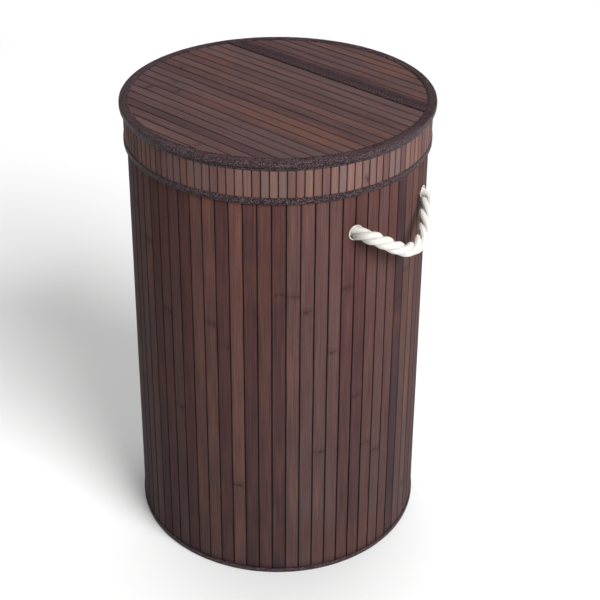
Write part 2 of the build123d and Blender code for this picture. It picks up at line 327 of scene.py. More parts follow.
def objectSpot(tree):
    return put(tree, "ShaderNodeTexCoord").outputs["Object"]


def uvSpot(tree, uvName):
    return put(tree, "ShaderNodeUVMap", uv_map=uvName).outputs[0]


def mark(tree, name):
    return put(tree, "ShaderNodeAttribute", attribute_name=name).outputs["Fac"]


def newFinish(name, **sockets):
    made = bpy.data.materials.new(name)
    made.use_nodes = True
    shader = made.node_tree.nodes["Principled BSDF"]
    for key, value in sockets.items():
        shader.inputs[key.replace("_", " ")].default_value = value
    return made, made.node_tree, shader


def feed(shader, **sockets):
    for key, value in sockets.items():
        shader.id_data.links.new(value, shader.inputs[key.replace("_", " ")])


def addBump(shader, height, strength, distance):
    inputs = {"Height": height, "Strength": strength, "Distance": distance}
    feed(shader, Normal=put(shader.id_data, "ShaderNodeBump", inputs).outputs[0])


# finishes; a noise is given by its scale, detail and roughness, a range by where it starts and ends and, with
# two more numbers, by what it gives there

bamboo = {
    "grain": ((1500, 13, 1), 3.0, 0.6), "pores": ((3600, 70, 1), 2.0, 0.6), "cloud": ((120, 11, 1), 2.0, 0.5),
    "smudge": ((260, 90, 1), 3.0, 0.6), "seedSpread": 40.0, "cloudTone": 0.14,
    "stainNoise": (8.0, 3.0, 0.55), "stainRange": (0.54, 0.70, 0.0, 0.6),
    "patchRagged": 0.3, "patchRange": (0.55, 1.1, 0.75, 0.0), "footShadeRange": (0.08, 0.5),
    "grainRange": (0.28, 0.72), "poreRange": (0.62, 0.75, 0.0, 0.45), "poreColour": (0.022, 0.012, 0.011),
    "gapShadeRagged": 0.25, "gapShadeRange": (0.15, 0.9), "darkest": (0.012, 0.007, 0.007),
    "knuckleRagged": 0.002, "line": (0.0003, 0.0022, 1.0, 0.0), "lineBroken": (0.35, 0.6), "lineDark": 0.5,
    "halo": (0.001, 0.009, 0.6, 0.0), "haloBroken": (0.4, 0.65), "haloColour": (0.030, 0.016, 0.016),
    "gloss": 0.04, "rough": (0.55, 0.7), "poreDepth": 0.5, "lineDepth": 0.8, "bump": (0.35, 0.0003),
}


def bambooFinish(name, look):
    # stained bamboo: a tone for each slat, lengthwise grain and pores, warm patches of stain, painted shade
    # at the slat edges for the gaps and a dark line at each knuckle; a look may place one more patch, and may
    # paint shade on the foot
    made, tree, shader = newFinish(name, Specular_IOR_Level=bamboo["gloss"])
    across, along, _ = split(uvSpot(tree, "slatUV"))
    tone, seed, knuckle, edge = (mark(tree, key) for key in ("tone", "seed", "knuckle", "edge"))
    shift = times(seed, bamboo["seedSpread"])
    at = put(tree, "ShaderNodeCombineXYZ", {0: across, 1: along, 2: shift}).outputs[0]
    kinds = ("grain", "pores", "cloud", "smudge")
    grain, pores, cloud, smudge = (noise(at, *bamboo[key]) for key in kinds)
    spot = objectSpot(tree)
    colour = ramp(plus(tone, sway(cloud, bamboo["cloudTone"])), look["palette"])
    stained = fade(noise(spot, *bamboo["stainNoise"]), *bamboo["stainRange"])
    if "patch" in look:
        centre, reach = look["patch"]
        local = mapped(spot, Location=[-c / r for c, r in zip(centre, reach)], Scale=[1 / r for r in reach])
        away = vectorCalc("LENGTH", local)
        ragged = plus(away, sway(cloud, bamboo["patchRagged"]))
        stained = calc("MAXIMUM", stained, fade(ragged, *bamboo["patchRange"]))
    colour = paint(stained, colour, look["stain"])
    # painted shade: the colour is multiplied darker and less red towards the foot, by height alone
    if "footShade" in look:
        rise = span(split(spot)[2], *bamboo["footShadeRange"])
        footShade = ramp(rise, [(0.0, look["footShade"]), (1.0, (1.0, 1.0, 1.0))])
        colour = blendColour("MULTIPLY", 1.0, colour, footShade)
    streak = span(grain, *bamboo["grainRange"], 1 - look["contrast"], 1 + look["contrast"])
    colour = shadeBy(colour, streak)
    colour = paint(span(pores, *bamboo["poreRange"]), colour, bamboo["poreColour"])
    # painted shade in the gaps: the sides and eased edges of each slat are darkened towards the darkest
    # colour
    rim = plus(edge, sway(pores, bamboo["gapShadeRagged"]))
    colour = paint(span(rim, *bamboo["gapShadeRange"], 0.0, look["gapShadeDark"]), colour, bamboo["darkest"])
    ragged = plus(along, sway(smudge, bamboo["knuckleRagged"]))
    away = calc("ABSOLUTE", minus(ragged, knuckle))
    line = times(fade(away, *bamboo["line"]), span(smudge, *bamboo["lineBroken"]))
    halo = times(fade(away, *bamboo["halo"]), span(smudge, *bamboo["haloBroken"]))
    colour = paint(halo, colour, bamboo["haloColour"])
    colour = paint(times(line, bamboo["lineDark"]), colour, bamboo["darkest"])
    feed(shader, Base_Color=colour, Roughness=span(grain, noiseLow, noiseHigh, *bamboo["rough"]))
    height = plus(grain, times(pores, bamboo["poreDepth"]))
    addBump(shader, minus(height, times(line, bamboo["lineDepth"])), *bamboo["bump"])
    return made


tape = {
    "rough": 0.4, "gloss": 0.14, "turn": 0.5, "worn": (90.0, 3.0), "fleckSway": 0.06,
    "fleckSoft": (1.02, 0.4), "crownGlintRange": (0.0, 0.6), "cellShade": (0.55, 1.25), "cellLift": 0.5,
    "bump": (0.9, 0.0006),
    "pitCore": 0.6, "pitDark": 0.93, "pitColour": (0.004, 0.003, 0.003), "pitDepth": 1.5,
    "ridgeHighlightRange": (0.0012, 0.0034, 0.8, 0.0), "bareSway": 0.003, "bareRange": (0.006, 0.017, 0.0, 0.75),
}


def tapeFinish(name, look):
    # woven tape: over and under threads as a chequer, each crossing with its own tone, some light flecks on
    # the crowns, partly paler threads, partly painted glints; dots are a row of pits along a raised line with
    # a painted highlight, with the cloth worn paler behind it
    made, tree, shader = newFinish(name, Roughness=tape["rough"], Specular_IOR_Level=tape["gloss"])
    uv = uvSpot(tree, "pieceUV")
    fine = 1 / mm / look["thread"]    # threads in a metre
    turned = mapped(uv, Rotation=(0, 0, tape["turn"]), Scale=(fine, fine, 1))
    cell, inside = vectorCalc("FLOOR", turned), vectorCalc("FRACTION", turned)
    chance = put(tree, "ShaderNodeTexWhiteNoise", {"Vector": cell}, noise_dimensions="2D").outputs["Value"]
    crown = times(*(calc("SINE", times(part, math.pi)) for part in split(inside)[:2]))
    worn = noise(uv, *tape["worn"])
    fleckLow, fleckHigh = 1 - look["flecksAndGlints"], tape["fleckSoft"][0] - look["flecksAndGlints"] * tape["fleckSoft"][1]
    fleckAndGlint = span(plus(chance, sway(worn, tape["fleckSway"])), fleckLow, fleckHigh)
    # flecks are kept to the crowns of the threads: partly paler threads, partly painted glints
    fleckAndGlint = times(fleckAndGlint, span(crown, *tape["crownGlintRange"]))
    colour = paint(fleckAndGlint, look["dark"], look["light"])
    colour = shadeBy(colour, span(chance, 0.0, 1.0, *tape["cellShade"]))
    height = plus(crown, times(chance, tape["cellLift"]))
    if "dots" in look:
        dots = look["dots"]
        along, across, _ = split(uv)
        u = minus(calc("FRACT", times(along, 1 / dots["pitch"])), 0.5)
        u = times(u, dots["pitch"])
        v = minus(across, dots["line"])
        away = calc("SQRT", plus(times(u, u), times(v, v)))
        pit = fade(away, dots["size"] * tape["pitCore"], dots["size"], 1.0, 0.0)
        # painted highlight: a lighter band along the raised stitch line, between the pits
        ridge = fade(calc("ABSOLUTE", v), *tape["ridgeHighlightRange"])
        colour = paint(ridge, colour, dots["ridge"])
        colour = paint(times(pit, tape["pitDark"]), colour, tape["pitColour"])
        height = minus(height, times(pit, tape["pitDepth"]))
        bare = fade(plus(v, sway(worn, tape["bareSway"])), *tape["bareRange"])
        colour = paint(bare, colour, dots["worn"])
    feed(shader, Base_Color=colour)
    addBump(shader, height, *tape["bump"])
    return made


def grainFinish(name, look):
    # finish from one noise on object coordinates: it gives the tone, with a share of soft cloud where there
    # is one, and where the look says so the roughness and the bump; a woven look has a cell for each thread
    made, tree, shader = newFinish(name, **look["shader"])
    spot = objectSpot(tree)
    grain = noise(spot, *look["grain"])
    tone, relief = grain, grain
    if "cloud" in look:
        tone = plus(times(grain, look["share"]), times(noise(spot, *look["cloud"]), 1 - look["share"]))
    feed(shader, Base_Color=ramp(tone, list(zip(look.get("stops", (noiseLow, noiseHigh)), look["tones"]))))
    if "rough" in look:
        feed(shader, Roughness=span(grain, noiseLow, noiseHigh, *look["rough"]))
    if "thread" in look:
        cells = {"Vector": spot, "Scale": 1 / mm / look["thread"], "Randomness": look["uneven"]}
        relief = plus(put(tree, "ShaderNodeTexVoronoi", cells).outputs["Distance"], grain)
    if "bump" in look:
        addBump(shader, relief, *look["bump"])
    return made


cotton = {"rough": 0.85, "gloss": 0.2, "sheen": 0.35, "sheenRough": 0.5, "glow": 0.12, "glowDepth": 0.004,
          "fibre": ((350, 1900, 1), 3.0, 0.65), "cloud": ((60, 120, 1), 2.0), "fibreSway": 0.18,
          "hollowShadeRamp": [(0.0, (0.56, 0.55, 0.525)), (0.5, (0.47, 0.45, 0.41)), (1.0, (0.15, 0.13, 0.105))],
          "soilRange": (0.45, 0.75, 0.0, 0.35), "soil": (0.92, 0.86, 0.78), "bump": (0.5, 0.0006)}


def ropeFinish(name):
    # cotton rope: off-white yarns, darkened in the hollows between strands and yarns as painted shade, fibres
    # along each yarn
    made, tree, shader = newFinish(name, Roughness=cotton["rough"], Specular_IOR_Level=cotton["gloss"],
                                   Sheen_Weight=cotton["sheen"], Sheen_Roughness=cotton["sheenRough"],
                                   Subsurface_Weight=cotton["glow"], Subsurface_Scale=cotton["glowDepth"])
    uv = uvSpot(tree, "ropeUV")
    fibre = noise(uv, *cotton["fibre"])
    cloud = noise(uv, *cotton["cloud"])
    colour = ramp(plus(mark(tree, "hollowShade"), sway(fibre, cotton["fibreSway"])), cotton["hollowShadeRamp"])
    colour = blendColour("MULTIPLY", span(cloud, *cotton["soilRange"]), colour, cotton["soil"])
    feed(shader, Base_Color=colour)
    addBump(shader, fibre, *cotton["bump"])
    return made


# the lid's patch is its centre and its reach in metres
# the wall's footShade tint is painted shade, darkest at the foot
wallBamboo = bambooFinish("wallBamboo", {
    "palette": [(0.0, (0.042, 0.0225, 0.026)), (0.25, (0.06, 0.0272, 0.0262)), (0.5, (0.077, 0.035, 0.031)),
                (0.75, (0.078, 0.0415, 0.038)), (1.0, (0.118, 0.051, 0.040))],
    "contrast": 0.4, "stain": (0.090, 0.0368, 0.0285), "gapShadeDark": 0.42, "footShade": (0.77, 0.91, 0.97)})
skirtBamboo = bambooFinish("skirtBamboo", {
    "palette": [(0.0, (0.088, 0.050, 0.048)), (0.3, (0.130, 0.068, 0.058)), (0.55, (0.118, 0.079, 0.075)),
                (0.8, (0.140, 0.077, 0.064)), (1.0, (0.156, 0.092, 0.078))],
    "contrast": 0.24, "stain": (0.130, 0.070, 0.058), "gapShadeDark": 0.4})
lidBamboo = bambooFinish("lidBamboo", {
    "palette": [(0.0, (0.051, 0.030, 0.031)), (0.35, (0.071, 0.040, 0.040)), (0.65, (0.075, 0.047, 0.047)),
                (1.0, (0.090, 0.047, 0.043))],
    "contrast": 0.46, "stain": (0.098, 0.047, 0.037), "gapShadeDark": 0.6,
    "patch": ((0.075, -0.056, 0.58), (0.11, 0.024, 1.0))})
bindingTape = tapeFinish("bindingTape", {
    "dark": (0.035, 0.0175, 0.0205), "light": (0.145, 0.104, 0.112), "flecksAndGlints": 0.42, "thread": 1.0})
rimTape = tapeFinish("rimTape", {
    "dark": (0.03, 0.02, 0.022), "light": (0.12, 0.09, 0.1), "flecksAndGlints": 0.2, "thread": 1.4})
foldTapeCloth = tapeFinish("foldTapeCloth", {
    "dark": (0.036, 0.0195, 0.0235), "light": (0.058, 0.036, 0.040), "flecksAndGlints": 0.3, "thread": 1.4,
    "dots": {"pitch": 0.0048, "line": 0.083, "size": 0.0018, "ridge": (0.084, 0.051, 0.054),
             "worn": (0.066, 0.038, 0.039)}})

plainCloth = {"grain": ((300, 300, 60), 3.0, 0.6), "cloud": (9.0, 3.0), "share": 0.6, "uneven": 0.55,
              "bump": (0.4, 0.0004),
              "shader": {"Roughness": 0.8, "Sheen_Weight": 0.2, "Specular_IOR_Level": 0.25}}
pressedBoard = {"grain": ((900, 240, 400), 4.0, 0.65), "cloud": (25.0, 3.0), "share": 0.7,
                "stops": (0.32, 0.68), "bump": (0.3, 0.0003),
                "shader": {"Roughness": 0.75, "Specular_IOR_Level": 0.3}}
sewnThread = {"grain": (2500.0, 1.0), "shader": {"Roughness": 0.7, "Specular_IOR_Level": 0.08}}
darkCloth = grainFinish("darkCloth", {
    **plainCloth, "thread": 0.7, "tones": ((0.016, 0.011, 0.011), (0.034, 0.024, 0.023))})
liningCloth = grainFinish("liningCloth", {
    **plainCloth, "thread": 0.8, "tones": ((0.035, 0.024, 0.022), (0.075, 0.052, 0.046))})
linerCotton = grainFinish("linerCotton", {
    **plainCloth, "thread": 0.9, "tones": ((0.60, 0.55, 0.46), (0.74, 0.70, 0.61)),
    "shader": {"Roughness": 0.9, "Sheen_Weight": 0.3, "Specular_IOR_Level": 0.25}})
baseBoardWood = grainFinish("baseBoardWood", {
    **pressedBoard, "tones": ((0.19, 0.12, 0.07), (0.34, 0.23, 0.14))})
lidBoardWood = grainFinish("lidBoardWood", {
    **pressedBoard, "tones": ((0.12, 0.075, 0.045), (0.24, 0.15, 0.09))})
darkThread = grainFinish("darkThread", {
    **sewnThread, "tones": ((0.018, 0.0132, 0.0144), (0.03, 0.022, 0.024))})
foldThread = grainFinish("foldThread", {
    **sewnThread, "tones": ((0.0036, 0.003, 0.003), (0.006, 0.005, 0.005))})
eyeletEnamel = grainFinish("eyeletEnamel", {
    "grain": (700.0, 3.0), "stops": (0.3, 0.6), "tones": ((0.43, 0.3956, 0.3268), (0.50, 0.46, 0.38)),
    "rough": (0.3, 0.45), "bump": (0.1, 0.0002), "shader": {"Coat_Weight": 0.3, "Coat_Roughness": 0.2}})
washerSteel = grainFinish("washerSteel", {
    "grain": ((2600, 300, 2600),), "tones": ((0.42, 0.41, 0.40), (0.62, 0.61, 0.60)), "rough": (0.28, 0.45),
    "shader": {"Metallic": 1.0}})
floorPaint = grainFinish("floorPaint", {
    "grain": (1.5, 2.0), "tones": ((0.68, 0.68, 0.68), (0.72, 0.72, 0.72)),
    "shader": {"Roughness": 0.9, "Specular_IOR_Level": 0.1}})
ropeCotton = ropeFinish("ropeCotton")
print("finishes made:", len(bpy.data.materials))

# rope handles, first because everything else keeps clear of them; the route is control points in mm from
# inside one eyelet, round the sagging loop, to inside the other; stays and swings are two points in metres
rope = {"diameter": 15.0, "lay": -54.0, "strands": 3, "strand": 4.05, "ring": 3.9, "yarns": 9,
        "yarnTurns": 5.2,
        "route": [(157.9, -51.3, 480.0), (179.8, -56.4, 480.0), (196.8, -47.5, 477.3), (208.7, -16.5, 454.6),
                  (208.3, 8.4, 447.5), (203.5, 30.9, 455.5), (187.7, 50.2, 472.2), (173.4, 74.1, 480.0),
                  (152.6, 65.2, 480.0)],
        "stays": (0.170, 0.0076, 0.48), "swings": (0.190, 0.0085, 0.48),
        "step": 0.75, "sides": 30, "phaseSway": 0.35, "phaseOver": 40, "ringSway": 0.05, "ringOver": 20,
        "yarnRidge": 0.06, "lumpy": 0.035, "lumpOver": 9, "dent": 0.6, "dentOver": 5, "inner": 0.9,
        "innerShadePower": 2.2, "furrowShade": 0.12}


def toSide(point, side):
    # half a turn about the axis gives the left
    return side * point[0], side * point[1], point[2]


def splinePoints(route):
    # points read from a smooth spline whose control points are the route's
    curve = bpy.data.curves.new("route", "CURVE")
    curve.dimensions = "3D"
    curve.resolution_u = 24
    line = curve.splines.new("NURBS")
    line.points.add(len(route) - 1)
    line.points.foreach_set("co", np.c_[route * mm, np.ones(len(route))].ravel())
    line.order_u = 3
    line.use_endpoint_u = True
    holder = bpy.data.objects.new("route", curve)
    bpy.context.scene.collection.objects.link(holder)
    read = bpy.data.meshes.new_from_object(holder)
    found = np.zeros(len(read.vertices) * 3)
    read.vertices.foreach_get("co", found)
    bpy.data.objects.remove(holder)
    bpy.data.curves.remove(curve)
    bpy.data.meshes.remove(read)
    return found.reshape(-1, 3) / mm


def evenPath(points, step):
    # the same line with points a step apart, and how far along each one is
    gone = np.concatenate([[0], np.cumsum(np.linalg.norm(np.diff(points, axis=0), axis=1))])
    s = np.linspace(0, gone[-1], int(gone[-1] / step) + 1)
    return np.stack([np.interp(s, gone, points[:, k]) for k in range(3)], 1), s


def unit(v):
    return v / np.linalg.norm(v, axis=-1, keepdims=True)


def crossFrame(points, guide):
    # along, up and side ways at each point, up as near to the guide as it can be
    along = unit(np.gradient(points, axis=0))
    up = unit(guide - (guide * along).sum(-1, keepdims=True) * along)
    return along, up, np.cross(along, up)


def ropeStrands(path, s):
    # helical strands; each is a tube whose radius has a yarn ripple that turns faster, and soft lumps
    _, up, across = crossFrame(path, upward)
    turn = roundAngles(rope["sides"])
    parts = []
    for k in range(rope["strands"]):
        phase = fullTurn * (k / rope["strands"] + s / rope["lay"])
        phase = phase + rope["phaseSway"] * wave(s / rope["phaseOver"], 3)
        out = spoke(phase[:, None], up, across)
        ring = rope["ring"] * (1 + rope["ringSway"] * wave(s / rope["ringOver"], 9 + k, (1, 2, 5)))
        core = path + ring[:, None] * out
        _, n, b = crossFrame(core, out)
        yarn = np.cos(rope["yarns"] * (turn + rope["yarnTurns"] * s[:, None] / rope["lay"]))
        dent = rope["dent"] * wave(turn + s[:, None] / rope["dentOver"], 41 + k, (2, 3, 5))
        lump = wave(s / rope["lumpOver"], 31 + k)[:, None] + dent
        r = rope["strand"] * (1 + rope["yarnRidge"] * yarn + rope["lumpy"] * lump)
        circle = spoke(turn[:, None], n[:, None], b[:, None])
        # painted shade: darker towards the rope's middle, where the strands meet, and in the furrows between
        # the yarns
        inward = 0.5 - 0.5 * np.cos(turn)
        hollowShade = np.clip(rope["inner"] * inward ** rope["innerShadePower"] + rope["furrowShade"] * (1 - yarn), 0, 1)
        girth = np.linspace(0, fullTurn * rope["strand"], rope["sides"] + 1)
        uv = np.meshgrid(s, girth, indexing="ij")
        parts.append(gridPart(core[:, None] + r[..., None] * circle, wrapV=True, uv=uv, caps=True,
                              marks={"hollowShade": hollowShade}))
    return parts


loose = {"count": 800, "clear": 14.0, "sunk": 1.3, "sideways": 0.7, "lengths": (2.0, 0.75),
         "limits": (0.5, 4.2), "girth": (0.04, 0.1), "taper": 0.8, "outward": 0.9, "curl": 1.7, "droop": 0.35,
         "steps": 5, "sides": 3}


def ropeFluff(path, s, seed):
    # loose fibres: thin threads that leave the rope's surface at random places, bend aside and droop
    pick = np.random.default_rng(seed)
    along, up, across = crossFrame(path, upward)
    count = loose["count"]
    clear = int(loose["clear"] / (s[1] - s[0]))
    row = pick.integers(clear, len(s) - clear, count)
    angle = pick.uniform(0, fullTurn, count)[:, None]
    out = spoke(angle, up[row], across[row])
    forward = along[row] * pick.normal(0, 1, count)[:, None]
    aside = unit(forward + np.cross(along[row], out) * pick.normal(0, loose["sideways"], count)[:, None])
    reach = pick.gamma(*loose["lengths"], count).clip(*loose["limits"])[:, None]
    girth = pick.uniform(*loose["girth"], count)[:, None]
    t = np.linspace(0, 1, loose["steps"])
    root = path[row] + out * (rope["diameter"] / 2 - loose["sunk"])
    centre = root[:, None] + out[:, None] * (reach * t)[..., None] * loose["outward"] \
        + aside[:, None] * (reach * t ** loose["curl"])[..., None] \
        - upward * (loose["droop"] * reach * t ** 2)[..., None]
    turn = roundAngles(loose["sides"])[:, None]
    ring = spoke(turn, aside[:, None], np.cross(out, aside)[:, None])
    width = girth * (1 - loose["taper"] * t)
    points = centre[:, :, None] + width[:, :, None, None] * ring[:, None]
    return [gridPart(p, wrapV=True, caps=True, marks={"hollowShade": np.zeros(p.shape[:2])}) for p in points]


for word, side in sides.items():
    route = np.array([toSide(point, side) for point in rope["route"]])
    path, s = evenPath(splinePoints(route), rope["step"])
    handle = makePiece("ropeHandle_" + word, ropeStrands(path, s), ropeCotton, "ropeUV")
    fluff = makePiece("ropeFluff_" + word, ropeFluff(path, s, 5 + side), ropeCotton, "ropeUV")
    for piece in (handle, fluff):
        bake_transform(piece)
    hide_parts("rope_handle_" + word)
    print("rope handle", word, "length", round(s[-1], 1), "mm")

# camera, as the photograph was taken

shot = {"azimuth": 43.4, "distance": 1.4436, "height": 1.193, "down": 29.34, "lens": 79.41, "sensor": 36,
        "shift": (0.0369, -0.1004)}
camera = bpy.data.objects.new("camera", bpy.data.cameras.new("camera"))
bpy.context.scene.collection.objects.link(camera)
facing = math.radians(shot["azimuth"])
camera.location = (shot["distance"] * math.sin(facing), -shot["distance"] * math.cos(facing), shot["height"])
camera.rotation_euler = (math.radians(90 - shot["down"]), 0, facing)
camera.data.lens = shot["lens"]
camera.data.sensor_width = shot["sensor"]
camera.data.shift_x, camera.data.shift_y = shot["shift"]
bpy.context.scene.camera = camera
print("camera set")

# bamboo slats; the section goes round a slat: side is its edge, inset how far from there, drop how far below
# the face, none on the back, and edge how near the slat's edge the point is, where its finish paints gap
# shade

slatSection = {"side": [1, 1, 1, 1, 1, 0.5, 0, -0.5, -1, -1, -1, -1, -1],
               "inset": [0, 0, -0.13, -0.45, -0.8, 0, 0, 0, 0.8, 0.45, 0.13, 0, 0],
               "drop": [None, 0.6, 0.22, 0.06, 0.012, 0, 0, 0, 0.012, 0.06, 0.22, 0.6, None],
               "edge": [1, 1, 1, 0.7, 0.3, 0, 0, 0, 0.3, 0.7, 1, 1, 1], "topShare": 0.6}


def slatShape(low, high, thick, raised):
    # section carried along a flat slat: across from its two edges, height from its thickness less the drop
    side, inset = np.array(slatSection["side"]), np.array(slatSection["inset"])
    height = np.array([0 if d is None else thick - d for d in slatSection["drop"]])
    across = (1 + side) / 2 * high[..., None] + (1 - side) / 2 * low[..., None] + inset
    top = np.where(height > slatSection["topShare"] * thick, 1.0, 0.0)
    return across, height + top * raised[..., None]


def slatPart(points, across, along, tone, seed, knuckle):
    # one closed slat with the marks that its finish reads
    values = {"tone": tone, "seed": seed, "knuckle": knuckle * mm, "edge": slatSection["edge"]}
    marks = {key: np.broadcast_to(value, across.shape) for key, value in values.items()}
    uv = seamed(across), seamed(along + 0 * across)
    return gridPart(points, wrapV=True, uv=uv, caps=True, marks=marks)


def pickKnuckle(pick, mat, between):
    # where along a slat its knuckle is, or a place far off where it has none
    return pick.uniform(*between) if pick.random() < mat["knuckled"] else mat["noKnuckle"]


wallMat = {"gap": 0.9, "thick": 2.0, "rows": 34, "leastRow": 0.02, "uneven": 0.12, "unevenOver": 90,
           "notch": 8.75, "notchRows": 19, "beside": 0.6, "tone": (0.46, 0.25),
           "knuckled": 0.6, "knuckleAt": (30, 545), "noKnuckle": -200.0, "knuckleReach": 6, "knuckleRows": 9,
           "ridge": 0.16, "ridgeWide": 1.8, "groove": 0.1, "grooveWide": 1.5, "grooveBelow": 3,
           "sunk": 0.12, "sunkOver": 120}
wallPitch = fullTurn / hamper["slats"]
wallHalf = wallBack(hamper["wallTop"]) * math.tan(wallPitch / 2) - wallMat["gap"] / 2


def wallSlat(i):
    # upright slat: both edges waver, the face has a ridge and a groove at a knuckle and sinks a little
    # elsewhere; beside a rope hole, half of a round notch is bitten out of the edge: sqrt(notch^2 - height^2)
    mat = wallMat
    turn = i * wallPitch
    knuckle = pickKnuckle(rng, mat, mat["knuckleAt"])
    rows = [np.linspace(hamper["wallLow"], hamper["wallTop"], mat["rows"])]
    if knuckle > 0:
        rows.append(knuckle + np.linspace(-mat["knuckleReach"], mat["knuckleReach"], mat["knuckleRows"]))
    apart = angleGap(holes, turn)
    beside = apart[np.abs(apart) < wallPitch * mat["beside"]]
    if len(beside):
        quarter = np.linspace(-np.pi / 2, np.pi / 2, mat["notchRows"])
        rows.append(hamper["holeHeight"] + mat["notch"] * np.sin(quarter))
    z = np.sort(np.concatenate(rows))
    z = z[np.concatenate([[True], np.diff(z) > mat["leastRow"]])]
    low = -wallHalf + mat["uneven"] * wave(z / mat["unevenOver"], 100 + i)
    high = wallHalf + mat["uneven"] * wave(z / mat["unevenOver"], 300 + i)
    bite = np.sqrt(np.clip(mat["notch"] ** 2 - (z - hamper["holeHeight"]) ** 2, 0, None))
    gapSide = wallHalf + mat["gap"] / 2
    if len(beside) and beside[0] > 0:
        high = np.minimum(high, gapSide - bite)
    elif len(beside):
        low = np.maximum(low, bite - gapSide)
    raised = mat["ridge"] * np.exp(-((z - knuckle) / mat["ridgeWide"]) ** 2) \
        - mat["groove"] * np.exp(-((z - knuckle + mat["grooveBelow"]) / mat["grooveWide"]) ** 2) \
        - mat["sunk"] * halfWave(z / mat["sunkOver"], 500 + i)
    across, height = slatShape(low, high, mat["thick"], raised)
    points = around(wallBack(z)[:, None] + height, across, z[:, None], turn)
    tone = np.clip(rng.normal(*mat["tone"]), 0.0, 1.0)
    return slatPart(points, across, z[:, None], tone, rng.random(), knuckle)


parts = [wallSlat(i) for i in range(hamper["slats"])]
place(makePiece("wallSlats", parts, wallBamboo, "slatUV"), "basket", "wall_bamboo", "wall_slats")
print("wall slats:", len(parts))

skirtMat = {"count": 120, "gap": 0.8, "thick": 1.3, "rows": 9, "uneven": 0.1, "unevenOver": 30, "sunk": 0.1,
            "knuckled": 0.07, "knuckleFrom": 12, "knuckleTo": 6, "noKnuckle": -200.0, "tone": 0.95}
skirtPitch = fullTurn / skirtMat["count"]
skirtHalf = hamper["skirtBack"] * math.tan(skirtPitch / 2) - skirtMat["gap"] / 2
skirtEnds = hamper["skirtLow"] + hamper["skirtInset"], hamper["skirtTop"] - hamper["skirtInset"]


def skirtSlat(i):
    # short upright slat, the first at the back: one edge follows the other's waver by a random share
    mat = skirtMat
    z = np.linspace(*skirtEnds, mat["rows"])
    waver = mat["uneven"] * wave(z / mat["unevenOver"], 700 + i)
    low, high = -skirtHalf + waver, skirtHalf - waver * rng.uniform(-1, 1)
    across, height = slatShape(low, high, mat["thick"], -mat["sunk"] * rng.random() + 0 * z)
    points = around(hamper["skirtBack"] + height, across, z[:, None], i * skirtPitch + np.pi / 2)
    knuckle = pickKnuckle(rng, mat, (skirtEnds[0] + mat["knuckleFrom"], skirtEnds[1] - mat["knuckleTo"]))
    tone = rng.random() * mat["tone"]
    return slatPart(points, across, z[:, None], tone, rng.random(), knuckle)


parts = [skirtSlat(i) for i in range(skirtMat["count"])]
place(makePiece("skirtSlats", parts, skirtBamboo, "slatUV"), "lid", "skirt_bamboo", "skirt_slats")
print("skirt slats:", len(parts))

lidMat = {"pitch": 14.5, "gap": 0.6, "thick": 2.2, "core": 0.9, "tape": 11.0, "ends": 0.4, "rows": 40,
          "uneven": 0.12, "sunk": 0.1, "tone": (0.5, 0.26), "knuckled": 0.3, "knuckleAt": (-150, 150),
          "noKnuckle": -400.0}


def foldEdge(way):
    # where the flap, way -1, or the rear part, way 1, starts at the fold
    return hamper["fold"] + way * hamper["foldGap"]


def lidSlats(way, seed):
    # slats along X from the fold outwards; each line of one ends on the lid's circle: x = t * sqrt(R^2 - y^2)
    mat = lidMat
    start, core = foldEdge(way), hamper["lidRadius"] - mat["core"]
    pick = np.random.default_rng(seed)
    back = hamper["lidTop"] - hamper["tapeRise"] - mat["thick"]
    t = np.linspace(-1, 1, mat["rows"])
    parts = []
    for i in range(math.ceil((core - way * start - mat["tape"]) / mat["pitch"])):
        near = start + way * (mat["pitch"] * i)
        far = near + way * (mat["pitch"] - mat["gap"])
        low = min(near, far) + mat["uneven"] * wave(t, seed + 3 * i)
        high = max(near, far) + mat["uneven"] * wave(t, seed + 5 * i)
        knuckle = pickKnuckle(pick, mat, mat["knuckleAt"])
        y, height = slatShape(low, high, mat["thick"], -mat["sunk"] * halfWave(t * 2, seed + 7 * i))
        held = np.clip(y, -core + mat["ends"], core - mat["ends"])
        x = t[:, None] * np.sqrt(np.clip(core ** 2 - held ** 2, 0, None))
        points = np.stack([x, held, back + height], -1)
        tone = np.clip(pick.normal(*mat["tone"]), 0, 1)
        parts.append(slatPart(points, y, x, tone, pick.random(), knuckle))
    return parts


for name, body, node, way, seed in (("flapSlats", "flap", "flap_slats", -1, 61),
                                    ("rearSlats", "lid", "lid_rear_slats", 1, 83)):
    parts = lidSlats(way, seed)
    place(makePiece(name, parts, lidBamboo, "slatUV"), body, "lid_bamboo", node)
    print("lid slats,", name + ":", len(parts))

# cloth tape round the edges

lidBinding = {"width": 11.0, "thick": 0.8, "round": 2.0, "roundSteps": 5, "flat": 4.0, "eased": 1.6,
              "lip": [(0.5, 0.02), (0.0, 0.3)], "stitchIn": 9.0, "stitchClear": 0.02,
              "steps": {"flapBinding": 200, "rearBinding": 110}}


def lidProfile():
    # folded tape seen in section: under the rim, round its edge, back over the top, then the same line inside
    big, low, high, thick = hamper["lidRadius"], hamper["lidUnder"], hamper["lidTop"], lidBinding["thick"]
    inner, corner, eased = big - lidBinding["width"], lidBinding["round"], lidBinding["eased"]
    bend = np.linspace(0, np.pi / 2, lidBinding["roundSteps"])
    flat = big - corner - lidBinding["flat"]
    outside = [(inner, low), (flat, low),
               *zip(big - corner + corner * np.sin(bend), low + corner - corner * np.cos(bend)),
               *zip(big - corner + corner * np.cos(bend), high - corner + corner * np.sin(bend)),
               (flat, high), *((inner + x, high - drop) for x, drop in lidBinding["lip"])]
    inside = [(inner, high - thick), (big - eased, high - thick), (big - thick, high - eased),
              (big - thick, low + eased), (big - eased, low + thick), (inner, low + thick)]
    return outside + inside


